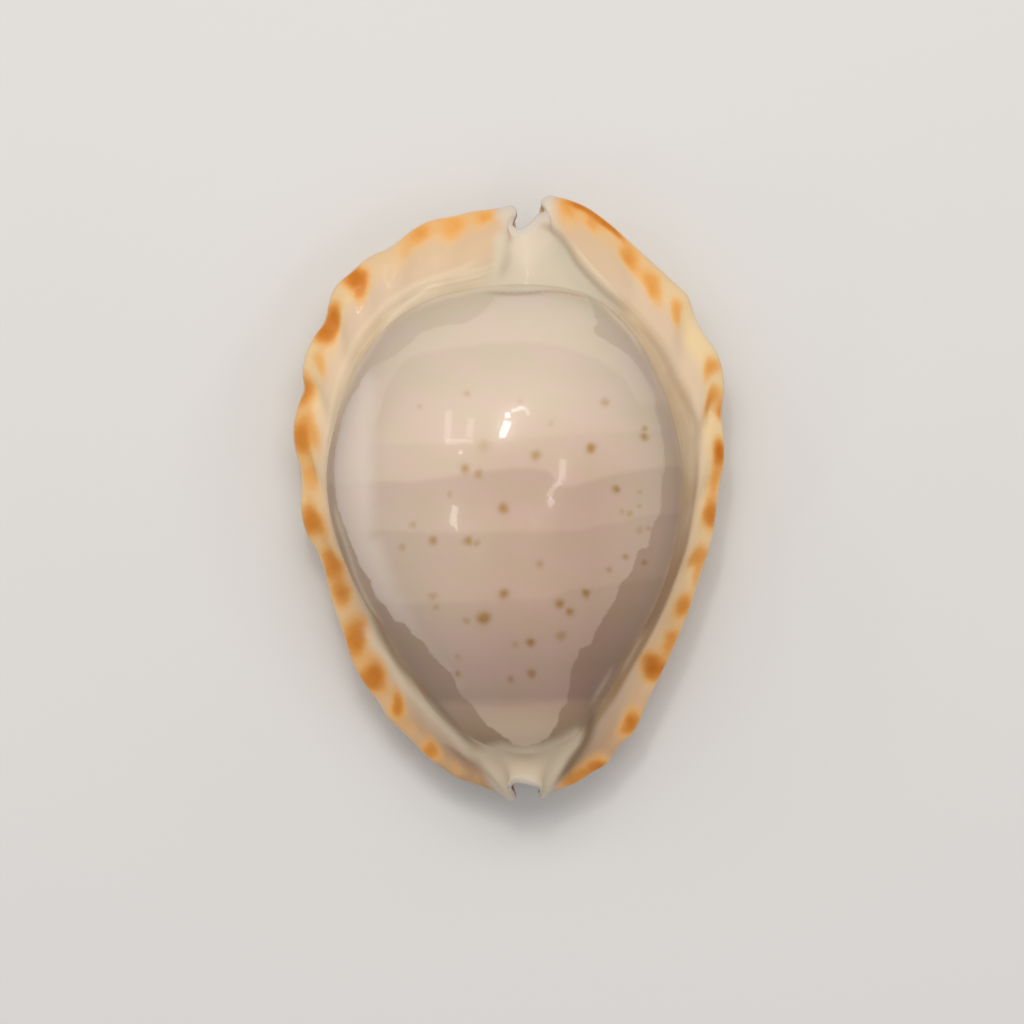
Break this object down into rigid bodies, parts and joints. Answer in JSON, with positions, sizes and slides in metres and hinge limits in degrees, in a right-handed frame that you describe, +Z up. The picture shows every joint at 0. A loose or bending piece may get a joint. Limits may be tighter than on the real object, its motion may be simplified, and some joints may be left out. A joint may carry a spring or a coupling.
{
  "type": "cowrie shell",
  "caption": "Domed cowrie shell with a scalloped flange, a notch at each end and a long toothed aperture in its flat base; an empty shell to set down.",
  "frame": {"origin": "middle of the bounding box in plan, on the surface that the base rests on", "axes": "+Z up through the top of the dome; +Y along the shell towards the posterior (spire) end; +X towards the columellar side, so the outer lip is on -X"},
  "size_m": [0.0468, 0.066, 0.033],
  "materials": {
    "enamel": "high gloss, pinkish beige back with small tan spots, cream margins with orange-brown blotches"
  },
  "bodies": {
    "root": {"shell": "enamel"}
  },
  "joints": []
}
